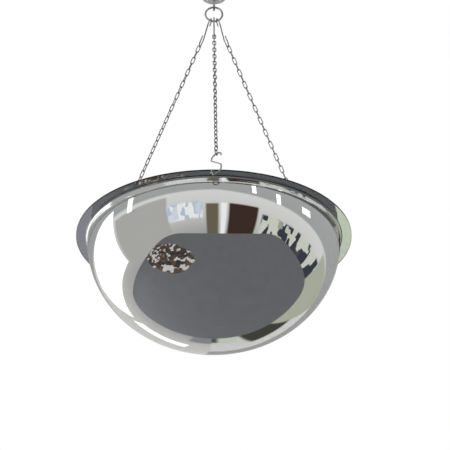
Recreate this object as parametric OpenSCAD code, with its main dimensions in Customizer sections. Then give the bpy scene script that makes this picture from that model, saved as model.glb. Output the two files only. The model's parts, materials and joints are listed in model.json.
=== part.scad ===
// Full-dome convex security mirror, hung under a ceiling on three chains.
// The origin is on the ceiling, at the centre of the ceiling plate. +Z is up and -Y is the front,
// so everything hangs below z = 0 and the mirrored side of the dome faces down and outwards.

/* [Mirror] */
// Diameter across the flange
mirror_d = 660; // [560:10:920]
// Width of the flat flange around the dome, rim fillet included
flange_w = 27; // [24:1:30]
// Depth of the dome below the flange's lower face
dome_depth = 266.5; // [200:0.5:400]
// Thickness of the clear acrylic
acrylic_t = 3; // [2:0.5:3]
// Radius of the fillet that joins the flange to the dome
rim_fillet = 5; // [3:0.5:8]
// Diameter of the three hanging holes in the flange
flange_hole_d = 9; // [9:0.5:10]

/* [Hanging] */
// Height of the ceiling above the flange's lower face
hang_drop = 722.4; // [600:1:1600]
// Turn of each S-hook away from the flange's edge line, in degrees
hook_turn = 37; // [36:1:40]
// Overall length of an S-hook
s_hook_length = 85.5; // [82:0.5:92]
// Width across an S-hook's loops
s_hook_width = 30; // [30:0.5:31]
// Diameter of the S-hook wire
s_hook_wire = 3.6; // [3.2:0.1:3.6]
// Inside length of a chain link
link_inside_length = 17.5; // [15:0.1:20]
// Inside width of a chain link
link_inside_width = 5.2; // [4.6:0.1:6]
// Diameter of the chain wire
link_wire = 2.5; // [2:0.1:3]
// Diameter of the gathering ring, through the middle of its wire
ring_d = 44; // [42:1:50]
// Diameter of the gathering ring's wire
ring_wire = 5; // [4:0.5:6]

/* [Ceiling fitting] */
// Diameter of the ceiling plate
plate_d = 64; // [60:1:80]
// Thickness of the ceiling plate's steel
plate_t = 2; // [1.5:0.5:2]
// Depth of the plate's middle cup below the ceiling
cup_depth = 9; // [9:0.5:12]
// Circle on which the ceiling screws sit
screw_circle_d = 48; // [46:1:50]
// Diameter of each screw hole
screw_hole_d = 4.8; // [4:0.1:5.5]
// Diameter of the swivel hook's rod
rod_d = 6; // [5:0.5:6]
// Radius of the swivel hook's bowl, through the middle of its rod
bowl_r = 11; // [10:0.5:12]

/* [Hidden] */
$fn = 96;

// Reflective and protective layers on the hollow side of the acrylic
coating_t = 0.2;
paint_t = 0.3;
sheet_t = acrylic_t + coating_t + paint_t;
flange_z = -hang_drop;
mirror_r = mirror_d / 2;
dome_r = mirror_r - flange_w;
dome_steps = 36;
fillet_steps = 6;

// How bent wire joins at its bends
hair = 0.05;
sleeve_half = 0.2;
sleeve_t = 0.04;

// How far a cutter stands proud of what it cuts
cut = 1;

// Gaps between pieces that hang in one another: within one body, and between bodies
link_gap = 0.1;
body_gap = 0.3;
running_gap = 0.08;

// Ceiling fitting, from the ceiling down
cup_r = 13;
cup_wall_slope = 4;
washer_r = 8;
washer_t = 1.2;
head_r = 5.5;
head_t = 2;
head_taper = 1;
washer_z = plate_t - cup_depth;
head_z = washer_z + washer_t + link_gap;
collar_r = 4.6;
collar_t = 2.4;
collar_z = -cup_depth - link_gap - collar_t;
neck_turn = 66;
neck_run = 1;
neck_drop = 2;
neck_z = collar_z - neck_drop;
neck_r = (bowl_r * cos(neck_turn) - neck_run * sin(neck_turn)) / (1 - cos(neck_turn));
bowl_z = neck_z - (neck_r + bowl_r) * sin(neck_turn) - neck_run * cos(neck_turn);
bowl_bottom_z = bowl_z - bowl_r;
hook_tip_curl = 25;

// Gathering ring: it hangs on the bowl, in the plane across the hook
ring_r = ring_d / 2;
ring_z = bowl_bottom_z + (rod_d + ring_wire) / 2 + body_gap - ring_r;
seat_spread = 22;

// S-hook: an open loop with a long free leg at the bottom, and a round loop at the top
loop_r = (s_hook_width - s_hook_wire) / 2;
free_leg = 13.5;
tip_leg = 2;
long_share = 0.76;
shoulder_r = 9;
shoulder_turn = 36;
crossing = 2 * (loop_r - shoulder_r * (1 - cos(shoulder_turn))) / sin(shoulder_turn);
shoulder_rise = 2 * shoulder_r * sin(shoulder_turn) + crossing * cos(shoulder_turn);
hook_straights = s_hook_length - s_hook_width - shoulder_rise;
long_side = hook_straights * long_share;
short_side = hook_straights - long_side;
hook_reach = s_hook_length - 2 * s_hook_wire;

// Each leg of the hanging: its name, its azimuth on the flange and its seat's angle on the ring
LEGS = [["front", -90, 0], ["right", 30, seat_spread], ["left", 150, -seat_spread]];
anchor_inset = 1;
anchor_drop = 5;

RUNS = ["upper", "middle", "lower"];

function unit(v) = v / norm(v);
function azimuth(a) = [cos(a), sin(a), 0];

// The leg's line runs from its seat on the ring to its anchor in the bottom hook's bowl
function seat(leg) = [ring_r * sin(leg[2]), 0, ring_z - ring_r * cos(leg[2])];
function anchor(leg) = (mirror_r - anchor_inset) * azimuth(leg[1]) + [0, 0, flange_z - anchor_drop];
function leg_length(leg) = norm(seat(leg) - anchor(leg));
function leg_up(leg) = unit(seat(leg) - anchor(leg));

// Across direction of the bottom hook: along the flange's edge, turned outwards by hook_turn
function bottom_across(leg) =
    let (up = leg_up(leg), edge = azimuth(leg[1] + 90), out = unit(cross(edge, up)))
    cos(hook_turn) * cross(up, out) + sin(hook_turn) * out;

// Across direction of the top hook: it straddles the ring's wire squarely
function top_across(leg) = unit(cross(leg_up(leg), [cos(leg[2]), 0, sin(leg[2])]));

// Where the bottom hook's free leg passes through the middle of the flange
function hole_at(leg) =
    let (foot = anchor(leg) - loop_r * bottom_across(leg), up = leg_up(leg))
    foot + up * (flange_z + sheet_t / 2 - foot[2]) / up[2];

// Chain layout along the leg, measured up from the anchor
function top_hook_at(leg) = leg_length(leg) + ring_wire / 2 + body_gap - hook_reach;
function first_link_at(leg) = top_hook_at(leg) + link_gap - link_inside_length / 2;
function last_link_at(leg) = hook_reach - body_gap + link_inside_length / 2;
function chain_span(leg) = first_link_at(leg) - last_link_at(leg);
function link_count(leg) = 1 + ceil(chain_span(leg) / (link_inside_length - link_gap / 2));
function link_pitch(leg) = chain_span(leg) / (link_count(leg) - 1);

// Turn from the top hook to the bottom hook about the leg, shared out between the links
function leg_twist(leg) =
    let (a = top_across(leg), b = bottom_across(leg))
    atan2(cross(a, b) * leg_up(leg), a * b);
function half_turn(angle) = angle - 180 * round(angle / 180);
function link_turn(leg) =
    let (steps = link_count(leg) - 1)
    90 + half_turn(leg_twist(leg) - 90 * steps) / steps;

// Puts children in a frame whose x runs across and whose z runs up, at a point
module in_frame(origin, across, up) {
    side = cross(up, across);
    multmatrix([for (i = [0:2]) [across[i], side[i], up[i], origin[i]]]) children();
}

// Puts children on a leg, a height above its anchor, with x in the given across direction
module on_leg(leg, height, across) {
    in_frame(anchor(leg) + leg_up(leg) * height, across, leg_up(leg)) children();
}

// A round wire that starts at the origin and runs along +z, bent in the xz plane. Each step is a
// straight [length, 0] or a bend [radius, turn], where a positive turn goes towards +x. A straight
// stops a hair short of its bends, and a thin sleeve joins the two.
module bent_wire(steps, d, i = 0) {
    $fn = 24;
    if (i > 0 && i < len(steps))
        translate([0, 0, -sleeve_half])
            cylinder(h = 2 * sleeve_half, d = d + 2 * sleeve_t);
    if (i < len(steps)) {
        step = steps[i];
        side = sign(step[1]);
        if (side == 0) {
            translate([0, 0, hair])
                cylinder(h = step[0] - 2 * hair, d = d);
            translate([0, 0, step[0]])
                bent_wire(steps, d, i + 1);
        } else {
            translate([side * step[0], 0, 0]) {
                rotate([90, 0, 90 - 90 * side])
                    rotate_extrude(angle = -abs(step[1]))
                        translate([-step[0], 0])
                            circle(d = d);
                rotate([0, step[1], 0])
                    translate([-side * step[0], 0, 0])
                        bent_wire(steps, d, i + 1);
            }
        }
    }
}

// The dome's section, one layer at a time. Depth is measured in from the mirrored lower face.
function dome_point(t, depth) =
    let (a = dome_r, b = dome_depth - rim_fillet, n = unit([cos(t) / a, -sin(t) / b]))
    [a * cos(t), -rim_fillet - b * sin(t)] - depth * n;
function section_line(depth) = concat(
    [[mirror_r, depth]],
    [
        for (i = [0:fillet_steps - 1])
            let (a = 90 + 90 * i / fillet_steps, r = rim_fillet + depth)
            [dome_r + rim_fillet + r * cos(a), -rim_fillet + r * sin(a)]
    ],
    [for (i = [0:dome_steps]) dome_point(90 * i / dome_steps, depth)]
);
function reversed(list) = [for (i = [len(list) - 1:-1:0]) list[i]];

module dome_layer(from_depth, to_depth) {
    difference() {
        translate([0, 0, flange_z])
            rotate_extrude()
                polygon(concat(section_line(from_depth), reversed(section_line(to_depth))));
        for (leg = LEGS)
            translate([hole_at(leg)[0], hole_at(leg)[1], flange_z - cut])
                cylinder(h = sheet_t + 2 * cut, d = flange_hole_d);
    }
}

module dome_shell() {
    color("gainsboro") dome_layer(0, acrylic_t);
}

module mirror_coating() {
    color("silver") dome_layer(acrylic_t, acrylic_t + coating_t);
}

module back_paint() {
    color("dimgray") dome_layer(acrylic_t + coating_t, sheet_t);
}

// One S-hook: the inside of its lower loop is at the origin and it reaches up along z
module s_hook() {
    steps = [
        [free_leg, 0],
        [loop_r, -180],
        [long_side, 0],
        [shoulder_r, -shoulder_turn],
        [crossing, 0],
        [shoulder_r, shoulder_turn],
        [short_side, 0],
        [loop_r, 180],
        [tip_leg, 0]
    ];
    translate([-loop_r, 0, loop_r - s_hook_wire / 2 + free_leg])
        rotate([0, 180, 0])
            bent_wire(steps, s_hook_wire);
}

module bottom_hook(leg) {
    color("darkgray") on_leg(leg, 0, bottom_across(leg)) s_hook();
}

module top_hook(leg) {
    color("darkgray") on_leg(leg, top_hook_at(leg), top_across(leg)) s_hook();
}

// One welded link: it lies in the yz plane, with its middle at the origin
module link() {
    bend_r = (link_inside_width + link_wire) / 2;
    straight = link_inside_length - link_inside_width;
    for (end = [0, 180])
        rotate([end, 0, 0]) {
            translate([0, 0, straight / 2])
                rotate([90, 0, 90])
                    rotate_extrude(angle = 180)
                        translate([bend_r, 0])
                            circle(d = link_wire);
            translate([0, bend_r, -straight / 2])
                cylinder(h = straight, d = link_wire);
        }
}

// A run is one third of a leg's links
module chain_run(leg, run) {
    count = link_count(leg);
    first = floor(count * run / len(RUNS));
    last = floor(count * (run + 1) / len(RUNS)) - 1;
    color("slategray")
        for (k = [first:last])
            on_leg(leg, first_link_at(leg) - k * link_pitch(leg), top_across(leg))
                rotate([0, 0, k * link_turn(leg)])
                    link();
}

module gathering_ring() {
    color("lightgray")
        translate([0, 0, ring_z])
            rotate([90, 0, 0])
                rotate_extrude()
                    translate([ring_r, 0])
                        circle(d = ring_wire);
}

// Pressed plate: a flat rim against the ceiling, and a cup that houses the swivel's head
module ceiling_plate() {
    bore_r = rod_d / 2 + running_gap;
    inner_top = cup_r + cup_wall_slope;
    color("whitesmoke")
        difference() {
            rotate_extrude()
                polygon([
                    [bore_r, -cup_depth],
                    [cup_r, -cup_depth],
                    [inner_top, -plate_t],
                    [plate_d / 2, -plate_t],
                    [plate_d / 2, 0],
                    [inner_top - plate_t / 2, 0],
                    [cup_r - plate_t / 2, plate_t - cup_depth],
                    [bore_r, plate_t - cup_depth]
                ]);
            for (a = [45:90:315])
                translate(screw_circle_d / 2 * azimuth(a) + [0, 0, -plate_t - cut])
                    cylinder(h = plate_t + 2 * cut, d = screw_hole_d);
        }
}

module swivel_washer() {
    color("silver")
        translate([0, 0, washer_z])
            difference() {
                cylinder(h = washer_t, r = washer_r);
                translate([0, 0, -cut])
                    cylinder(h = washer_t + 2 * cut, r = rod_d / 2 + running_gap);
            }
}

// The hook turns in the plate: a riveted head and a collar keep it there
module swivel_hook() {
    rod_top = head_z + head_t / 2;
    bowl_sweep = neck_turn + 180 + hook_tip_curl;
    color("silver")
        union() {
            translate([0, 0, head_z])
                cylinder(h = head_t, r1 = head_r, r2 = head_r - head_taper);
            translate([0, 0, collar_z])
                cylinder(h = collar_t, r = collar_r);
            translate([0, 0, rod_top])
                rotate([180, 0, 90])
                    bent_wire(
                        [[rod_top - neck_z, 0], [neck_r, neck_turn], [neck_run, 0], [bowl_r, -bowl_sweep]],
                        rod_d
                    );
        }
}

dome_shell();
mirror_coating();
back_paint();
ceiling_plate();
swivel_washer();
swivel_hook();
gathering_ring();
for (leg = LEGS) {
    bottom_hook(leg);
    top_hook(leg);
    for (run = [0:len(RUNS) - 1])
        chain_run(leg, run);
}
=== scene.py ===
# %% Load the frame
import json
import math

import bpy
from mathutils import Matrix, Vector


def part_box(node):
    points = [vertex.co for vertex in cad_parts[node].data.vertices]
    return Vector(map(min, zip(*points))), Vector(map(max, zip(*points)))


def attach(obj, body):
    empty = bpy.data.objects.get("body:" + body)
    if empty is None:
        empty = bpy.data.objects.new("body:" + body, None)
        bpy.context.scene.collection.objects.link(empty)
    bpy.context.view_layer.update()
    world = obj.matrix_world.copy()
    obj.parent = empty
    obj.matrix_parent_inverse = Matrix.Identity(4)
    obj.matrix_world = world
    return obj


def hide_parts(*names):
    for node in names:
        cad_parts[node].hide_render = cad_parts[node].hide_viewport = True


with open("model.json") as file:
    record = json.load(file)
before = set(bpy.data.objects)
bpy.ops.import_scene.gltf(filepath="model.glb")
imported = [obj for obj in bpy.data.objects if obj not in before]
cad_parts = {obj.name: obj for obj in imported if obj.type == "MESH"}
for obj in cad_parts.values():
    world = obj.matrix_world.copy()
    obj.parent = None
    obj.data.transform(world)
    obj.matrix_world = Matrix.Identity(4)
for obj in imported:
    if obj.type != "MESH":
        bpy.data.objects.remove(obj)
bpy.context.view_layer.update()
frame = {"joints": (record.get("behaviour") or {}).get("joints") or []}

# %% [markdown]
# # A full-dome security mirror on three chains
# The object is a hollow acrylic bowl, mirrored on its inside and hung mirror side down from a
# swivel hook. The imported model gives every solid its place, so this lesson only makes better
# shapes and finishes in the same places. We read the sizes that we need from it first.

# %% Sizes
MM = 0.001
dome_low, dome_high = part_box("dome_shell")
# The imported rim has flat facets. The shorter of its two reaches keeps our finer rim in its box.
FLANGE_R = min(dome_high.x, dome_high.y)
FLANGE_W = 27 * MM
DOME_R = dome_high.x - FLANGE_W
ACRYLIC_T = 3 * MM
COATING_T = 0.2 * MM
PAINT_T = 0.3 * MM
SHEET_T = ACRYLIC_T + COATING_T + PAINT_T
FLANGE_Z = dome_high.z - ACRYLIC_T
DOME_DEPTH = FLANGE_Z - dome_low.z
RIM_FILLET = 5 * MM
joints = {j["name"]: j for j in frame["joints"]}
LEGS = ("front", "right", "left")
print(f"flange radius {FLANGE_R:.3f} m, dome {DOME_DEPTH:.3f} m deep, flange at z {FLANGE_Z:.4f} m")

# %% [markdown]
# Each leg of the hanging runs from an anchor in the bottom S-hook's bowl to a seat on the
# gathering ring. The two twist joints of a leg hold exactly those points and the leg's direction,
# so the hooks and links can be placed from them.

# %% Leg frames
HOOK_TURN = math.radians(37)
ring_low, ring_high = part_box("gathering_ring")
RING_WIRE = ring_high.y - ring_low.y
RING_R = (ring_high.x - ring_low.x - RING_WIRE) / 2
RING_Z = (ring_high.z + ring_low.z) / 2


def leg_ends(leg):
    """The leg's anchor, its seat on the ring and its upward direction."""
    bottom, top = joints[f"s_hook_bottom_{leg}_twist"], joints[f"s_hook_top_{leg}_twist"]
    return Vector(bottom["pos_m"]), Vector(top["pos_m"]), Vector(bottom["axis"]).normalized()


def frame_at(origin, across, up):
    """A placing matrix whose x runs across and whose z runs up."""
    turned = Matrix((across, up.cross(across), up)).transposed().to_4x4()
    return Matrix.Translation(origin) @ turned


def bottom_across(leg):
    """Across a bottom S-hook: along the rim, then turned so that one side passes the rim's edge."""
    anchor, _, up = leg_ends(leg)
    edge = Vector((-anchor.y, anchor.x, 0)).normalized()
    out = edge.cross(up).normalized()
    return math.cos(HOOK_TURN) * up.cross(out) + math.sin(HOOK_TURN) * out


def top_across(leg):
    """Across a top S-hook: square to the ring's wire where the hook sits on it."""
    _, seat, up = leg_ends(leg)
    lean = math.asin(seat.x / RING_R)
    return up.cross(Vector((math.cos(lean), 0, math.sin(lean)))).normalized()


for leg in LEGS:
    anchor, seat, up = leg_ends(leg)
    print(f"{leg}: {1000 * (seat - anchor).length:.1f} mm from anchor to seat")

# %% [markdown]
# # Helpers for modelling
# An operator works on whatever is selected, so every piece starts from an empty selection. A piece
# is finished by writing its place into its mesh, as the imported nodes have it, and by checking
# its box against the node that it stands for.

# %% Select and edit


def select_only(*pieces):
    """Leaves edit mode, and selects these pieces alone."""
    if bpy.context.object and bpy.context.object.mode == "EDIT":
        bpy.ops.object.mode_set(mode="OBJECT")
    bpy.ops.object.select_all(action="DESELECT")
    for piece in pieces:
        piece.select_set(True)
    bpy.context.view_layer.objects.active = pieces[0] if pieces else None


def edit(piece, mode="VERT"):
    """Enters edit mode with the whole piece selected."""
    select_only(piece)
    bpy.ops.object.mode_set(mode="EDIT")
    bpy.ops.mesh.select_mode(type=mode)
    bpy.ops.mesh.select_all(action="SELECT")


def edit_faces(piece, wanted):
    """Enters edit mode with only the faces selected that a test on the polygon accepts."""
    select_only(piece)
    for part in (piece.data.vertices, piece.data.edges, piece.data.polygons):
        part.foreach_set("select", [False] * len(part))
    for face in piece.data.polygons:
        face.select = wanted(face)
    bpy.ops.object.mode_set(mode="EDIT")
    bpy.ops.mesh.select_mode(type="FACE")


# %% Place, copy, join and shade


def place(piece, matrix):
    """Moves a piece, and writes its new place into its mesh."""
    piece.matrix_world = matrix
    select_only(piece)
    bpy.ops.object.transform_apply()


def copy_to(piece, name, matrix):
    """A copy with its own mesh, in its own place."""
    made = piece.copy()
    made.data = piece.data.copy()
    made.name = name
    bpy.context.scene.collection.objects.link(made)
    place(made, matrix)
    return made


def join(pieces, name):
    """Makes one piece of several."""
    select_only(*pieces)
    if len(pieces) > 1:
        bpy.ops.object.join()
    pieces[0].name = name
    return pieces[0]


def smooth(piece, degrees=35):
    """Smooth shading, except over edges that are sharper than this."""
    select_only(piece)
    bpy.ops.object.shade_smooth_by_angle(angle=math.radians(degrees))


# %% Paint a value, and stand in for a node


def paint(piece, name, amount):
    """Stores amount(point), from 0 to 1, on every vertex, for a material to read."""
    layer = piece.data.attributes.new(name, "FLOAT", "POINT")
    layer.data.foreach_set("value", [amount(v.co) for v in piece.data.vertices])


def stands_for(piece, body, slot, *nodes):
    """Puts a finished piece in its CAD nodes' place, and prints how far their boxes differ."""
    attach(piece, body)
    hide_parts(*nodes)
    low = [min(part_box(n)[0][i] for n in nodes) for i in range(3)]
    high = [max(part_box(n)[1][i] for n in nodes) for i in range(3)]
    points = [v.co for v in piece.data.vertices]
    gap = max(
        max(abs(min(p[i] for p in points) - low[i]), abs(max(p[i] for p in points) - high[i]))
        for i in range(3)
    )
    faces = len(piece.data.polygons)
    print(f"{piece.name}: {faces} faces, box within {1000 * gap:.2f} mm of the CAD")


# %% [markdown]
# # Two ways of making a round thing
# A wire former pushes a round wire along and bends it round pins. Here a circle is extruded for
# each straight and spun round a centre for each bend, so the links, hooks and S-hooks are made the
# way that real ones are. A lathe or a mould makes everything that is round about one axis: we
# draw half a section, one corner after another, and spin it a full turn.

# %% Bend a wire


def bent_wire(name, radius, steps, sides=16, bend_step=10, closed=False, chamfer=0.0):
    """A wire from the origin along +z, bent in the xz plane. A step is (length, 0, size) or
    (bend radius, turn in degrees, size), and size is the section's share at the step's end."""
    bpy.ops.mesh.primitive_circle_add(vertices=sides, radius=radius, fill_type="NOTHING")
    wire = bpy.context.object
    wire.name = name
    edit(wire, "EDGE")
    at, heading, size = Vector((0, 0, 0)), 0.0, 1.0
    for length, turn, new_size in steps:
        ahead = Vector((math.sin(heading), 0, math.cos(heading)))
        if turn == 0:
            bpy.ops.mesh.extrude_region_move(TRANSFORM_OT_translate={"value": ahead * length})
            at = at + ahead * length
        else:
            angle = math.radians(turn)
            side = math.copysign(1, turn)
            centre = at + side * length * Vector((ahead.z, 0, -ahead.x))
            bend_steps = max(2, round(abs(turn) / bend_step))
            bpy.ops.mesh.spin(steps=bend_steps, angle=-angle, center=centre, axis=(0, 1, 0))
            at = centre + Matrix.Rotation(angle, 3, "Y") @ (at - centre)
            heading += angle
        if new_size != size:
            bpy.ops.transform.resize(value=(new_size / size,) * 3, center_override=at)
            size = new_size
    if closed:
        bpy.ops.mesh.select_all(action="SELECT")
        bpy.ops.mesh.remove_doubles(threshold=radius / 50)
    else:
        bpy.ops.mesh.select_all(action="DESELECT")
        bpy.ops.mesh.select_non_manifold()
        bpy.ops.mesh.fill_holes(sides=0)
    bpy.ops.mesh.select_all(action="SELECT")
    bpy.ops.mesh.normals_make_consistent(inside=False)
    if chamfer:
        edit_faces(wire, lambda face: len(face.vertices) == sides)
        bpy.ops.mesh.bevel(offset=chamfer, segments=3, affect="EDGES")
    smooth(wire)
    return wire


# %% Turn a section


def lathe(name, outline, steps=128):
    """Spins a closed outline of (radius, height) points round the z axis."""
    radius, height = outline[0]
    bpy.ops.mesh.primitive_plane_add(size=MM, location=(radius, 0, height))
    piece = bpy.context.object
    piece.name = name
    edit(piece)
    bpy.ops.mesh.merge(type="CENTER")
    for (r0, z0), (r1, z1) in zip(outline, outline[1:] + outline[:1]):
        bpy.ops.mesh.extrude_region_move(TRANSFORM_OT_translate={"value": (r1 - r0, 0, z1 - z0)})
    bpy.ops.mesh.select_all(action="SELECT")
    bpy.ops.mesh.spin(steps=steps, angle=2 * math.pi, center=(0, 0, 0), axis=(0, 0, 1))
    bpy.ops.mesh.select_all(action="SELECT")
    bpy.ops.mesh.remove_doubles(threshold=1e-6)
    bpy.ops.mesh.normals_make_consistent(inside=False)
    place(piece, piece.matrix_world.copy())
    return piece


# %% [markdown]
# Holes are drilled last, as on the real parts. One Boolean modifier takes all of a piece's drills
# at once, and it is applied, so that the finished mesh has true holes with their own walls.

# %% Cut round holes


def drill(piece, centres, radius, low, high):
    """Cuts upright round holes through a piece, with one Boolean modifier."""
    drills = []
    for centre in centres:
        bpy.ops.mesh.primitive_cylinder_add(
            vertices=48,
            radius=radius,
            depth=high - low,
            location=(centre[0], centre[1], (low + high) / 2),
        )
        drills.append(bpy.context.object)
    cutter = join(drills, "drill")
    place(cutter, cutter.matrix_world.copy())
    select_only(piece)
    cut = piece.modifiers.new("drill", "BOOLEAN")
    cut.operation, cut.solver, cut.object = "DIFFERENCE", "EXACT", cutter
    bpy.ops.object.modifier_apply(modifier=cut.name)
    bpy.data.objects.remove(cutter)


# %% [markdown]
# # Finishes as sums
# A worn or mottled finish is a small sum: a base value, plus a noise pattern times a strength. The
# class below lets such a sum be written as one, and each sign adds its Math node. Every other
# node comes from one method, which takes the node's type, its settings and its sockets.

# %% Node arithmetic


class Number:
    """A socket in a node tree. Arithmetic on it adds Math nodes."""

    def __init__(self, nodes, socket):
        self.nodes, self.socket = nodes, socket

    def maths(self, operation, *values):
        """A Math node with these values on its sockets."""
        return self.nodes.node("ShaderNodeMath", {"operation": operation}, values)

    def __add__(self, other):
        return self.maths("ADD", self, other)

    def __sub__(self, other):
        return self.maths("SUBTRACT", self, other)

    def __rsub__(self, other):
        return self.maths("SUBTRACT", other, self)

    def __mul__(self, other):
        return self.maths("MULTIPLY", self, other)

    def __truediv__(self, other):
        return self.maths("DIVIDE", self, other)

    __radd__ = __add__
    __rmul__ = __mul__

    def between(self, low, high):
        """0 below low, 1 above high, and a smooth rise from one to the other."""
        return self.nodes.node(
            "ShaderNodeMapRange",
            {"interpolation_type": "SMOOTHSTEP"},
            {"Value": self, "From Min": low, "From Max": high},
        )


class Nodes:
    """A node tree, and the one method that adds a node to it."""

    def __init__(self, tree):
        self.tree = tree

    def node(self, kind, settings=None, sockets=(), out=0):
        """Adds a node, and gives one of its outputs. A colour ramp's stops are a setting too."""
        made = self.tree.nodes.new(kind)
        for key, value in (settings or {}).items():
            if key == "stops":
                ramp = made.color_ramp
                for spare in list(ramp.elements)[1:]:
                    ramp.elements.remove(spare)
                ramp.elements[0].position, ramp.elements[0].color = value[0]
                for position, colour in value[1:]:
                    ramp.elements.new(position).color = colour
            else:
                setattr(made, key, value)
        for key, value in sockets.items() if isinstance(sockets, dict) else enumerate(sockets):
            self.feed(self.find(made.inputs, key), value)
        return Number(self, self.find(made.outputs, out))

    @staticmethod
    def find(sockets, key):
        """A socket by its place, its identifier or its name."""
        if isinstance(key, int):
            return sockets[key]
        return next(s for s in sockets if key in (s.identifier, s.name))

    def axis(self, vector, letter):
        """One coordinate of a vector, or one channel of a colour."""
        return self.node("ShaderNodeSeparateXYZ", {}, {"Vector": vector}, out=letter)

    def feed(self, socket, value):
        """Links a Number to a socket, or sets the socket to a plain value."""
        if isinstance(value, Number):
            self.tree.links.new(value.socket, socket)
        else:
            socket.default_value = value

    def blend(self, amount, low, high):
        """A mix of two colours, with low at 0 and high at 1."""
        return self.node(
            "ShaderNodeMix",
            {"data_type": "RGBA"},
            {"Factor_Float": amount, "A_Color": low, "B_Color": high},
            out="Result_Color",
        )

    def cells(self, spot, scale):
        """Squarish cells, each with a random colour of its own."""
        return self.node(
            "ShaderNodeTexVoronoi",
            {"distance": "CHEBYCHEV"},
            {"Vector": spot, "Scale": scale},
            out="Color",
        )


# %% A finish


class Finish(Nodes):
    """A material: nodes that read the surface's own coordinates and feed one Principled shader."""

    def __init__(self, name):
        self.material = bpy.data.materials.new(name)
        self.material.use_nodes = True
        super().__init__(self.material.node_tree)
        self.shader = self.tree.nodes["Principled BSDF"]
        self.spot = self.node("ShaderNodeTexCoord", out="Object")

    def noise(self, size, detail=3.0, roughness=0.5, stretch=None):
        """Noise whose blotches are about size metres across."""
        spot = self.spot
        if stretch:
            spot = self.node("ShaderNodeMapping", {}, {"Vector": spot, "Scale": stretch})
        return self.node(
            "ShaderNodeTexNoise",
            {},
            {"Vector": spot, "Scale": 1 / size, "Detail": detail, "Roughness": roughness},
        )

    def painted(self, name):
        """A value that was painted on the vertices, and 0 on a piece without it."""
        return self.node("ShaderNodeAttribute", {"attribute_name": name}, out="Fac")

    def bump(self, height, distance):
        """A normal that makes a height of 1 look distance metres high."""
        return self.node("ShaderNodeBump", {}, {"Height": height, "Distance": distance})

    def set(self, **values):
        """Feeds the shader's sockets, such as Base_Color=... for Base Color."""
        for key, value in values.items():
            self.feed(self.shader.inputs[key.replace("_", " ")], value)

    def cover(self, *pieces):
        """Gives the pieces this finish alone."""
        for piece in pieces:
            piece.data.materials.clear()
            piece.data.materials.append(self.material)
        print(f"{self.material.name}: {len(self.tree.nodes)} nodes, on {len(pieces)} pieces")


def grey(level, warmth=0.0):
    """A grey, a little warmer or cooler than neutral."""
    return (level * (1 + warmth), level, level * (1 - warmth), 1)


# %% [markdown]
# # The dome: acrylic, silvering and paint
# The real bowl is one sheet of clear acrylic, heated and drawn down, then silvered on its hollow
# side and painted over to protect the silver. A single shiny surface would lose what makes it look
# real: the clear cut edge, and the faint second image from the front of the sheet. So each
# layer is its own thin shell, turned from the same section at its own depth.

# %% The dome's section
DOME_TURN_STEPS = 192


def section_line(depth, dome_steps=80, fillet_steps=10):
    """The mirror's section as (radius, height) points, from the rim to the middle of the bowl."""
    across, down = DOME_R, DOME_DEPTH - RIM_FILLET
    fillet_r, foot_z = RIM_FILLET + depth, FLANGE_Z - RIM_FILLET
    line = [(FLANGE_R, FLANGE_Z + depth)]
    for i in range(fillet_steps):
        angle = math.pi / 2 * (1 + i / fillet_steps)
        r = DOME_R + RIM_FILLET + fillet_r * math.cos(angle)
        line.append((r, foot_z + fillet_r * math.sin(angle)))
    for i in range(dome_steps + 1):
        angle = math.pi / 2 * i / dome_steps
        x, z = math.cos(angle), -math.sin(angle)
        normal = Vector((x / across, z / down)).normalized()
        line.append((across * x - depth * normal.x, foot_z + down * z - depth * normal.y))
    line[-1] = (0.0, line[-1][1])
    return line


def layer(name, from_depth, to_depth, chamfer=0.0):
    """A shell between two depths below the mirror's face, with its rim's edges chamfered."""
    outer, inner = section_line(from_depth), section_line(to_depth)
    if chamfer:
        (r, z0), (_, z1) = outer[0], inner[0]
        outer = [(r, z0 + chamfer), (r - chamfer, z0)] + outer[1:]
        inner = [(r, z1 - chamfer), (r - chamfer, z1)] + inner[1:]
    return lathe(name, outer + inner[::-1], steps=DOME_TURN_STEPS)


# %% [markdown]
# The hanging holes sit where each bottom S-hook's free leg comes up through the flange. A hair of
# air between the layers keeps their faces from flickering where they would lie in each other.

# %% Turn and drill the three layers
LOOP_R = 13.2 * MM
HOLE_R = 4.5 * MM
SKIN = 0.02 * MM
SAWN_EDGE = 0.3 * MM
DRILL_FROM, DRILL_TO = FLANGE_Z - 5 * MM, FLANGE_Z + 9 * MM
holes = []
for leg in LEGS:
    anchor, _, up = leg_ends(leg)
    foot = anchor - LOOP_R * bottom_across(leg)
    holes.append(foot + up * ((FLANGE_Z + SHEET_T / 2 - foot.z) / up.z))

acrylic = layer("acrylic_dome", 0, ACRYLIC_T - SKIN, chamfer=SAWN_EDGE)
silver = layer("silvered_layer", ACRYLIC_T + SKIN, ACRYLIC_T + COATING_T - SKIN)
back = layer("painted_back", ACRYLIC_T + COATING_T + SKIN, SHEET_T)
for piece in (acrylic, silver, back):
    drill(piece, holes, HOLE_R, DRILL_FROM, DRILL_TO)
    smooth(piece, 30)
stands_for(acrylic, "mirror", "clear_acrylic", "dome_shell")
stands_for(silver, "mirror", "mirror_layer", "mirror_coating")
stands_for(back, "mirror", "back_paint", "back_paint")

# %% [markdown]
# Drawn acrylic is never quite even. In the flange and the fillet, where the sheet was gripped, it
# keeps slow waves that make reflected lights wobble. So the silvering gets a shallow bump there,
# and only a trace of it over the dome. Handling leaves faint smears on the front, which raise the
# roughness a little.

# %% Acrylic and silvering
clear = Finish("clear acrylic")
smear = clear.noise(0.09, detail=5, stretch=(1, 1, 2.5)).between(0.52, 0.8)
grain = clear.noise(0.004, detail=2)
clear.set(
    Base_Color=(0.97, 0.985, 0.98, 1),
    Roughness=0.004 + 0.03 * smear * grain,
    Transmission_Weight=1.0,
    IOR=1.49,
)
clear.cover(acrylic)

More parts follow.
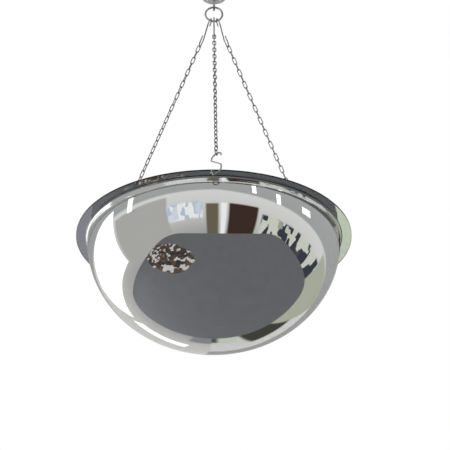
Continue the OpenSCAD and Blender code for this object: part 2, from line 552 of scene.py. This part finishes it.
WAVE_SIZE = 0.13
WAVE_HEIGHT = 0.004
WAVES_ON_DOME = 0.06
WAVES_BEGIN = 12 * MM
WAVES_RISE = 10 * MM
silvering = Finish("silvering")
height = silvering.axis(silvering.spot, "Z")
near_rim = (height - FLANGE_Z + WAVES_BEGIN).between(0.0, WAVES_RISE)
share = WAVES_ON_DOME + (1 - WAVES_ON_DOME) * near_rim
waves = silvering.noise(WAVE_SIZE, detail=1.5) * share
haze = silvering.noise(0.18, detail=4)
silvering.set(
    Base_Color=silvering.blend(haze, grey(0.90, 0.004), grey(0.84, -0.012)),
    Metallic=1.0,
    Roughness=0.008 + 0.02 * haze.between(0.5, 0.75),
    Normal=silvering.bump(waves, WAVE_HEIGHT),
)
silvering.cover(silver)

# %% [markdown]
# The back is only seen from above. Its grey lacquer is sprayed on by hand, so it has an
# orange-peel skin and cloudy passes, and dust settles in the bottom of the bowl.

# %% Back paint
lacquer = Finish("grey lacquer")
height = lacquer.axis(lacquer.spot, "Z")
passes = lacquer.noise(0.12, detail=3, stretch=(1, 2.2, 1)).between(0.3, 0.7)
speckle = lacquer.noise(0.0022, detail=2).between(0.45, 0.8)
floor_of_bowl = (FLANGE_Z - DOME_DEPTH * 0.45 - height).between(0.0, DOME_DEPTH * 0.55)
dust = floor_of_bowl * (0.35 + 0.65 * lacquer.noise(0.03, detail=6, roughness=0.7))
grey_coat = lacquer.blend(passes, grey(0.19, -0.02), grey(0.25, 0.0))
specked = lacquer.blend(0.35 * speckle, grey_coat, grey(0.36, 0.0))
lacquer.set(
    Base_Color=lacquer.blend(0.55 * dust, specked, grey(0.52, 0.05)),
    Roughness=0.42 + 0.12 * passes + 0.3 * dust,
    Normal=lacquer.bump(lacquer.noise(0.0028, detail=2), 0.0002),
)
lacquer.cover(back)

# %% [markdown]
# # Steel wire
# Chain, S-hooks, ring and hook are all mild steel with a thin coat of zinc. Fresh zinc is bright
# and smooth, old zinc goes grey in patches, and wherever two pieces hang in each other the coat is
# rubbed bright. One recipe makes all of them, with its own greys and wear for each piece.

# %% Zinc-coated steel


def zinc(name, dull, bright, rough, patch, rub_bright=0.75):
    """Zinc-coated steel, with patches about patch metres across."""
    steel = Finish(name)
    patches = steel.noise(patch, detail=4, roughness=0.6).between(0.35, 0.68)
    grain = steel.noise(patch / 9, detail=3, roughness=0.65)
    stain = steel.noise(patch * 2.3, detail=5, roughness=0.7).between(0.6, 0.78)
    rub = steel.painted("rub")
    weld = steel.painted("weld")
    coat = steel.blend(patches, grey(dull, -0.015), grey(bright, 0.01))
    coat = steel.blend(0.35 * stain, coat, (dull * 0.62, dull * 0.5, dull * 0.4, 1))
    coat = steel.blend(0.7 * weld, coat, (dull * 0.55, dull * 0.5, dull * 0.58, 1))
    worn = rub * (0.45 + 0.55 * grain)
    steel.set(
        Base_Color=steel.blend(worn, coat, grey(rub_bright, 0.005)),
        Metallic=1.0 - 0.25 * stain,
        Roughness=rough + 0.16 * patches + 0.14 * stain + 0.12 * grain - 0.14 * worn,
        Normal=steel.bump(grain + 0.5 * patches, 0.00006),
    )
    return steel


def closeness(point, centre, reach):
    """1 at the centre, falling to 0 at reach metres from it."""
    near = max(0.0, 1 - (point - Vector(centre)).length / reach)
    return near * near * (3 - 2 * near)


# %% [markdown]
# # The chain
# Each link is a straight piece of wire bent round and butt-welded in the middle of one side, which
# leaves a small bead. A leg has thirty-three links. One is modelled and copied, and neighbours
# are turned a little more or less than a right angle, to share out the turn between the leg's
# two S-hooks.

# %% One link
LINK_INSIDE_LENGTH = 17.5 * MM
LINK_INSIDE_WIDTH = 5.2 * MM
LINK_WIRE = 2.5 * MM
LINK_GAP = 0.1 * MM
BODY_GAP = 0.3 * MM
link_bend = (LINK_INSIDE_WIDTH + LINK_WIRE) / 2
link_side = LINK_INSIDE_LENGTH - LINK_INSIDE_WIDTH
BEAD = 1.0 * MM
BEAD_TOP = 0.35 * BEAD
BEAD_SHARE = 1.14
link = bent_wire(
    "link",
    LINK_WIRE / 2,
    [
        (BEAD_TOP, 0, BEAD_SHARE),
        (BEAD - BEAD_TOP, 0, 1.0),
        (link_side / 2 - BEAD, 0, 1.0),
        (link_bend, 180, 1.0),
        (link_side, 0, 1.0),
        (link_bend, 180, 1.0),
        (link_side / 2 - BEAD, 0, 1.0),
        (BEAD - BEAD_TOP, 0, BEAD_SHARE),
        (BEAD_TOP, 0, 1.0),
    ],
    sides=12,
    bend_step=22.5,
    closed=True,
)
place(link, Matrix.Translation((-link_bend, 0, 0)))
inside_end = (0, 0, LINK_INSIDE_LENGTH / 2)
paint(link, "rub", lambda p: closeness(Vector((p.x, p.y, abs(p.z))), inside_end, 2.6 * MM))
paint(link, "weld", lambda p: closeness(p, (-link_bend, 0, 0), 2.4 * MM))
place(link, Matrix.Rotation(math.pi / 2, 4, "Z"))
print(f"link: {len(link.data.polygons)} faces")

# %% Hang the runs of chain
HOOK_REACH = 78.3 * MM
RUNS = ("upper", "middle", "lower")


def half_turn(degrees):
    """The smallest turn that does the same for a wire link, which looks alike every half turn."""
    return degrees - 180 * round(degrees / 180)


def leg_links(leg):
    """The placing matrix of every link on a leg, from the top down."""
    anchor, seat, up = leg_ends(leg)
    top, bottom = top_across(leg), bottom_across(leg)
    top_hook = (seat - anchor).length + RING_WIRE / 2 + BODY_GAP - HOOK_REACH
    first = top_hook + LINK_GAP - LINK_INSIDE_LENGTH / 2
    last = HOOK_REACH - BODY_GAP + LINK_INSIDE_LENGTH / 2
    steps = math.ceil((first - last) / (LINK_INSIDE_LENGTH - LINK_GAP / 2))
    twist = math.degrees(math.atan2(top.cross(bottom).dot(up), top.dot(bottom)))
    turn = 90 + half_turn(twist - 90 * steps) / steps
    return [
        frame_at(anchor + up * (first - (first - last) * k / steps), top, up)
        @ Matrix.Rotation(math.radians(turn * k), 4, "Z")
        for k in range(steps + 1)
    ]


chain_runs = []
for leg in LEGS:
    spots = leg_links(leg)
    for i, run in enumerate(RUNS):
        part = spots[len(spots) * i // len(RUNS) : len(spots) * (i + 1) // len(RUNS)]
        name = f"chain_{leg}_{run}"
        copies = [copy_to(link, f"link_{k}", spot) for k, spot in enumerate(part)]
        made = join(copies, f"links_{leg}_{run}")
        stands_for(made, "mirror", "chain_steel", name)
        chain_runs.append(made)
bpy.data.objects.remove(link)
zinc("chain zinc", 0.30, 0.52, 0.30, 0.006).cover(*chain_runs)

# %% [markdown]
# # The S-hooks
# Six open hooks of the same brighter wire join the chains to the ring and to the rim. They are
# bent from straight rod in nine strokes, and their sheared ends have been tumbled smooth.

# %% Bend one S-hook
S_WIRE = 3.6 * MM
FREE_LEG = 13.5 * MM
TIP_LEG = 2 * MM
SHOULDER_R = 9 * MM
SHOULDER_TURN = 36
S_LENGTH = 85.5 * MM
LONG_SHARE = 0.76
shoulder = math.radians(SHOULDER_TURN)
crossing = 2 * (LOOP_R - SHOULDER_R * (1 - math.cos(shoulder))) / math.sin(shoulder)
shoulder_rise = 2 * SHOULDER_R * math.sin(shoulder) + crossing * math.cos(shoulder)
straights = S_LENGTH - 2 * LOOP_R - S_WIRE - shoulder_rise
s_hook = bent_wire(
    "s_hook",
    S_WIRE / 2,
    [
        (FREE_LEG, 0, 1.0),
        (LOOP_R, -180, 1.0),
        (LONG_SHARE * straights, 0, 1.0),
        (SHOULDER_R, -SHOULDER_TURN, 1.0),
        (crossing, 0, 1.0),
        (SHOULDER_R, SHOULDER_TURN, 1.0),
        ((1 - LONG_SHARE) * straights, 0, 1.0),
        (LOOP_R, 180, 1.0),
        (TIP_LEG, 0, 1.0),
    ],
    chamfer=0.45 * MM,
)
free_end = Matrix.Translation((-LOOP_R, 0, LOOP_R - S_WIRE / 2 + FREE_LEG))
place(s_hook, free_end @ Matrix.Rotation(math.pi, 4, "Y"))
paint(
    s_hook,
    "rub",
    lambda p: max(closeness(p, (0, 0, 0), 3.5 * MM), closeness(p, (0, 0, HOOK_REACH), 4 * MM)),
)
print(f"S-hook: {len(s_hook.data.polygons)} faces")

# %% Hang the S-hooks
s_hooks = []
for leg in LEGS:
    anchor, seat, up = leg_ends(leg)
    top_at = anchor + up * ((seat - anchor).length + RING_WIRE / 2 + BODY_GAP - HOOK_REACH)
    ends = ("bottom", anchor, bottom_across(leg)), ("top", top_at, top_across(leg))
    for end, at, across in ends:
        node = f"s_hook_{end}_{leg}"
        made = copy_to(s_hook, f"hook_{end}_{leg}", frame_at(at, across, up))
        stands_for(made, node, "hook_steel", node)
        s_hooks.append(made)
bpy.data.objects.remove(s_hook)
zinc("S-hook zinc", 0.46, 0.68, 0.16, 0.012, rub_bright=0.82).cover(*s_hooks)

# %% [markdown]
# # The ceiling fitting
# A pressed steel plate screws to a joist. Its cup houses the riveted head of a hook, which turns
# on a washer, and the hook carries a welded ring that gathers the three legs. The hook is one bar,
# so its head and its collar are steps in the same skin.

# %% Gathering ring
WELD_AT = Vector((RING_R, 0, RING_Z))
WELD_REACH = 3.1 * MM
WELD_SWELL = (0.97, 1.1, 1.0)
bpy.ops.mesh.primitive_torus_add(
    major_radius=RING_R, minor_radius=RING_WIRE / 2, major_segments=96, minor_segments=20
)
ring = bpy.context.object
ring.name = "welded_ring"
place(ring, Matrix.Translation((0, 0, RING_Z)) @ Matrix.Rotation(math.pi / 2, 4, "X"))
edit_faces(ring, lambda face: (face.center - WELD_AT).length < WELD_REACH)
bpy.ops.transform.resize(value=WELD_SWELL, center_override=WELD_AT)
smooth(ring)
seats = [leg_ends(leg)[1] for leg in LEGS]
bowl_bottom = Vector((0, 0, RING_Z + RING_R))
rubbed = [(bowl_bottom, 6 * MM)] + [(seat, 5 * MM) for seat in seats]
paint(ring, "rub", lambda p: max(closeness(p, at, reach) for at, reach in rubbed))
paint(ring, "weld", lambda p: closeness(p, WELD_AT, 7 * MM))
stands_for(ring, "ring", "fitting_steel", "gathering_ring")

# %% Swivel hook
_, hook_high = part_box("swivel_hook")
head_z = hook_high.z
ROD_R = 3 * MM
HEAD_TOP_R = 4.5 * MM
HEAD_R = 5.5 * MM
COLLAR_R = 4.6 * MM
COLLAR_TOP_Z = -9.1 * MM
COLLAR_T = 2.4 * MM
NECK_Z = -13.5 * MM
BOWL_R = 11 * MM
BOWL_CURL = 25
NECK_TURN = 66
NECK_RUN = 1 * MM
neck = math.radians(NECK_TURN)
neck_r = (BOWL_R * math.cos(neck) - NECK_RUN * math.sin(neck)) / (1 - math.cos(neck))
HEAD_T = 2 * MM
EDGE = 0.3 * MM
TOP_EDGE = 0.25 * MM
EDGE_IN = 0.1
TOP_EDGE_IN = 0.12
head_top, head, collar = HEAD_TOP_R / ROD_R, HEAD_R / ROD_R, COLLAR_R / ROD_R
to_collar = head_z - HEAD_T - COLLAR_TOP_Z
hook = bent_wire(
    "turning_hook",
    ROD_R,
    [
        (0, 0, head_top - TOP_EDGE_IN),
        (TOP_EDGE, 0, head_top),
        (HEAD_T - TOP_EDGE - EDGE, 0, head),
        (EDGE, 0, head - EDGE_IN),
        (0, 0, 1.0),
        (to_collar, 0, 1.0),
        (0, 0, collar - EDGE_IN),
        (EDGE, 0, collar),
        (COLLAR_T - 2 * EDGE, 0, collar),
        (EDGE, 0, collar - EDGE_IN),
        (0, 0, 1.0),
        (COLLAR_TOP_Z - COLLAR_T - NECK_Z, 0, 1.0),
        (neck_r, NECK_TURN, 1.0),
        (NECK_RUN, 0, 1.0),
        (BOWL_R, -NECK_TURN - 180 - BOWL_CURL, 1.0),
    ],
    sides=32,
    bend_step=6,
    chamfer=0.8 * MM,
)
turned_down = Matrix.Rotation(math.pi / 2, 4, "Z") @ Matrix.Rotation(math.pi, 4, "X")
place(hook, Matrix.Translation((0, 0, head_z)) @ turned_down)
hook_seat = bowl_bottom + Vector((0, 0, RING_WIRE / 2))
paint(hook, "rub", lambda p: closeness(p, hook_seat, 7 * MM))
stands_for(hook, "hook", "fitting_steel", "swivel_hook")

# %% Washer and plate
washer_low, washer_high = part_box("swivel_washer")
BORE_R = ROD_R + 0.08 * MM


def rounded(outline, corners, size):
    """Replaces the named corners of an outline with a flat of that size."""
    out = []
    for i, point in enumerate(outline):
        if i not in corners:
            out.append(point)
            continue
        here = Vector(point)
        before, after = Vector(outline[i - 1]), Vector(outline[(i + 1) % len(outline)])
        for other in (before, after):
            out.append(tuple(here + (other - here).normalized() * size))
    return out


washer = lathe(
    "thrust_washer",
    rounded(
        [
            (BORE_R, washer_low.z),
            (washer_high.x, washer_low.z),
            (washer_high.x, washer_high.z),
            (BORE_R, washer_high.z),
        ],
        (1, 2),
        0.25 * MM,
    ),
    steps=64,
)
smooth(washer)
stands_for(washer, "ceiling_fitting", "fitting_steel", "swivel_washer")

plate_low, plate_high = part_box("ceiling_plate")
PLATE_R = plate_high.x
PLATE_T = 2 * MM
CUP_R = 13 * MM
CUP_TOP_R = 17 * MM
SCREW_CIRCLE_R = 24 * MM
SCREW_HOLE_R = 2.4 * MM
plate = lathe(
    "ceiling_cup_plate",
    rounded(
        [
            (BORE_R, plate_low.z),
            (CUP_R, plate_low.z),
            (CUP_TOP_R, -PLATE_T),
            (PLATE_R, -PLATE_T),
            (PLATE_R, 0),
            (CUP_TOP_R - PLATE_T / 2, 0),
            (CUP_R - PLATE_T / 2, plate_low.z + PLATE_T),
            (BORE_R, plate_low.z + PLATE_T),
        ],
        (0, 1, 2, 3, 5, 6),
        0.6 * MM,
    ),
    steps=128,
)
screws = [
    (SCREW_CIRCLE_R * math.cos(math.radians(a)), SCREW_CIRCLE_R * math.sin(math.radians(a)))
    for a in (45, 135, 225, 315)
]
drill(plate, screws, SCREW_HOLE_R, -PLATE_T - MM, MM)
smooth(plate, 25)
stands_for(plate, "ceiling_fitting", "plate_enamel", "ceiling_plate")

# %% [markdown]
# The fitting's steel is thicker and smoother than the chain. The plate is stove-enamelled white,
# and chips to the bare steel here and there, most of all round its rim. The plate is
# stove-enamelled white,
# and chips to the bare steel round its rim and its screw holes, where a driver slips.

# %% Fitting steel and enamel
zinc("fitting zinc", 0.42, 0.62, 0.20, 0.016, rub_bright=0.8).cover(ring, hook, washer)

enamel = Finish("white enamel")
across, along = (enamel.axis(enamel.spot, letter) for letter in "XY")
from_middle = across.maths("SQRT", across * across + along * along)
rim_wear = (from_middle - PLATE_R + 1.2 * MM).between(0.0, 1.4 * MM)
chips = enamel.noise(0.0035, detail=6, roughness=0.7)
chipped = (chips + 0.42 * rim_wear).between(0.74, 0.78)
grime = enamel.noise(0.02, detail=5, roughness=0.65).between(0.45, 0.8)
soiled = enamel.blend(0.4 * grime, grey(0.78, 0.012), grey(0.55, 0.06))
enamel.set(
    Base_Color=enamel.blend(chipped, soiled, grey(0.33, 0.02)),
    Metallic=chipped,
    Roughness=0.28 + 0.2 * grime + 0.15 * chipped,
    Normal=enamel.bump(enamel.noise(0.0016, detail=2) - 1.5 * chipped, 0.00008),
)
enamel.cover(plate)

# %% [markdown]
# # Camera, floor, lights and world
# A polished dome shows everything round it, so what it reflects matters as much as its silvering.
# The floor and the world have one look when they are seen directly, which is pale and plain, and
# another in reflections, where they make a room. A Light Path node tells the two apart. In the
# dome, the floor is painted dark, which is painted shade for a dimly lit floor, and has a cluttered
# desk on the left, a large window stands beyond the desk, and strip lights hang overhead.

# %% Camera
DISTANCE = 12.17 * FLANGE_R
BELOW = math.radians(28.2)
ROUND = math.radians(-1.0)
AIM_RIGHT = math.radians(0.38)
AIM_UP = math.radians(0.54)
FOCAL = 133.8
rim_middle = Vector((0, 0, FLANGE_Z))
level = math.cos(BELOW)
away = Vector((math.sin(ROUND) * level, -math.cos(ROUND) * level, -math.sin(BELOW)))
camera_at = rim_middle + DISTANCE * away
look = Matrix.Translation(camera_at) @ (-away).to_track_quat("-Z", "Y").to_matrix().to_4x4()
look = look @ Matrix.Rotation(-AIM_RIGHT, 4, "Y") @ Matrix.Rotation(AIM_UP, 4, "X")
bpy.ops.object.camera_add()
camera = bpy.context.object
camera.name = "camera"
camera.matrix_world = look
camera.data.lens = FOCAL
camera.data.sensor_width = 36
camera.data.clip_start = 0.05
camera.data.clip_end = 60
bpy.context.scene.camera = camera
bpy.context.scene.view_settings.view_transform = "Standard"
print(f"camera {DISTANCE:.2f} m away, {math.degrees(BELOW):.1f} degrees below the rim")

# %% Floor
FLOOR_AT = (1.3, 0.1, -3.6)
FLOOR_SIZE = (11.4, 9.0, 1)
FLOOR_CORNER_R = 1.6
bpy.ops.mesh.primitive_plane_add(size=1, location=FLOOR_AT)
floor = bpy.context.object
floor.name = "floor"
edit(floor)
bpy.ops.transform.resize(value=FLOOR_SIZE, center_override=FLOOR_AT)
bpy.ops.mesh.bevel(offset=FLOOR_CORNER_R, segments=12, affect="VERTICES")
place(floor, floor.matrix_world.copy())

# %% Floor finish
DESK_AT = (-2.9, -1.6)
DESK_REACH = (2.2, 1.25)
pale = Finish("pale floor")
mottle = pale.noise(0.5, detail=5)
across, along = (pale.axis(pale.spot, letter) for letter in "XY")
east = (across - DESK_AT[0]) / DESK_REACH[0]
north = (along - DESK_AT[1]) / DESK_REACH[1]
desk = 1 - (east * east + north * north + mottle * 0.8).between(1.15, 1.25)
heap = pale.cells(pale.spot, 5.0)
sheet, tone = (pale.axis(heap, letter) for letter in "XY")
things = pale.blend(tone, (0.03, 0.03, 0.045, 1), (0.22, 0.13, 0.07, 1))
clutter = pale.blend(sheet.between(0.66, 0.70), things, grey(1.0, 0.02))
mirrored = pale.node("ShaderNodeLightPath", out="Is Glossy Ray")
# Painted shade: the pale floor gets this dark grey only in reflections, standing for a dimly lit
# floor
painted_shade_floor = pale.blend(mottle, (0.27, 0.27, 0.295, 1), (0.21, 0.21, 0.22, 1))
in_room = pale.blend(desk, painted_shade_floor, clutter)
in_studio = pale.blend(mottle, grey(0.74, 0.01), grey(0.64, 0.0))
pale.set(Base_Color=pale.blend(mirrored, in_studio, in_room), Roughness=0.7)
pale.cover(floor)

# %% Lights


def softbox(name, at, target, width, height, brightness, colour=(1, 1, 1)):
    """A rectangular light of an even brightness, facing its target."""
    bpy.ops.object.light_add(type="AREA", location=at)
    lamp = bpy.context.object
    lamp.name = name
    lamp.data.shape = "RECTANGLE"
    lamp.data.size, lamp.data.size_y = width, height
    lamp.data.energy = math.pi * width * height * brightness
    lamp.data.color = colour
    lamp.rotation_euler = (Vector(target) - Vector(at)).to_track_quat("-Z", "Y").to_euler()
    lamp.visible_camera = False
    print(f"{name}: {lamp.data.energy:.1f} W")


middle = (0, 0, FLANGE_Z)
WINDOW_AT = (-4.7, 4.8, -0.8)
across_room = (0, WINDOW_AT[1], WINDOW_AT[2])
softbox("window", WINDOW_AT, across_room, 8.4, 3.8, 1.05, (1.0, 0.98, 1.0))
softbox("strip_front", (2.2, -3.4, 0.9), middle, 0.25, 1.0, 1.6)
softbox("strip_right", (3.1, -2.2, 0.3), middle, 0.25, 0.7, 1.6)
softbox("strip_far_right", (3.6, -0.4, 0.25), middle, 0.6, 0.35, 1.6)
softbox("strip_left", (-3.2, -0.8, 0.3), middle, 0.3, 0.8, 1.3)
softbox("back_low", (-2.2, 8.0, -2.2), middle, 2.6, 1.1, 1.0)

# %% [markdown]
# The world stands in for a plain room. It is drawn by direction: a heading round the room, with 0
# towards the camera, and a rise above the horizon. Walls, ceiling and a few darker and lighter
# panels give the dome something to bend, and only reflections see them.

# %% World
world = bpy.data.worlds.new("studio")
bpy.context.scene.world = world
world.use_nodes = True
room = Nodes(world.node_tree)
direction = room.node("ShaderNodeTexCoord", out="Generated")
x, y, z = (room.axis(direction, letter) for letter in "XYZ")
DEGREES = 180 / math.pi
heading = x.maths("ARCTAN2", x, 0 - y) * DEGREES
rise = z.maths("ARCSINE", z) * DEGREES
lifted = rise + 0.05 * (heading + heading.maths("ABSOLUTE", heading))


def inside(value, low, high, soft):
    """1 between low and high and 0 outside, changing within soft degrees of each edge."""
    return value.between(low - soft, low + soft) * (1 - value.between(high - soft, high + soft))


def panel(left, right, low, high, soft=1.2):
    """1 inside a stretch of headings and rises, in degrees, and 0 outside it."""
    return inside(heading, left, right, soft) * inside(rise, low, high, soft)


def by_rise(*stops):
    """Grey levels at rises from -90 to 90 degrees."""
    stops = [((angle + 90) / 180, grey(level, warmth)) for angle, level, warmth in stops]
    place_on_ramp = lifted / 180 + 0.5
    return room.node("ShaderNodeValToRGB", {"stops": stops}, {"Fac": place_on_ramp}, out="Color")


# %% Walls and what stands against them
shade = by_rise(
    (-90, 0.10, 0),
    (-46, 0.14, 0),
    (-38, 0.34, 0.02),
    (-10, 0.62, 0.03),
    (16, 0.74, 0.02),
    (18, 0.40, 0),
    (90, 0.50, 0),
)
spot = room.node("ShaderNodeCombineXYZ", {}, {"X": heading / 4.2, "Y": rise / 11})
block = room.axis(room.cells(spot, 1.0), "X")
shelf = room.blend(block.between(0.45, 0.6), (0.045, 0.05, 0.065, 1), (0.66, 0.66, 0.58, 1))
papers = room.blend(block.between(0.3, 0.9), (0.50, 0.56, 0.74, 1), (1.0, 1.0, 1.0, 1))
for mask, colour in (
    (panel(-97, -42, -60, 13), grey(0.44, 0.03)),
    (panel(-42, -11, -16, 3) * 0.8, papers),
    (panel(-8, 3, -40, 0), (0.15, 0.13, 0.09, 1)),
    (panel(5, 10, -40, 1), grey(0.95)),
    (panel(12, 38, -40, 1), (0.050, 0.028, 0.022, 1)),
    (panel(42, 118, -40, -5), shelf),
    (panel(118, 152, -40, 3), (0.46, 0.47, 0.38, 1)),
    (panel(152, 168, -40, -12), (0.06, 0.06, 0.05, 1)),
    (panel(170, 176.5, -40, -20), (0.60, 0.64, 0.52, 1)),
    (panel(177.5, 190, -40, -22), (0.11, 0.11, 0.10, 1)),
    (panel(-190, -172, -40, -20), (0.27, 0.26, 0.30, 1)),
):
    shade = room.blend(mask, shade, colour)
seen = room.node("ShaderNodeLightPath", out="Is Camera Ray")
scattered = room.node("ShaderNodeLightPath", out="Is Diffuse Ray")
sky = room.blend(seen, room.blend(scattered, shade, grey(0.5)), grey(1.0))
room.feed(world.node_tree.nodes["Background"].inputs["Color"], sky)
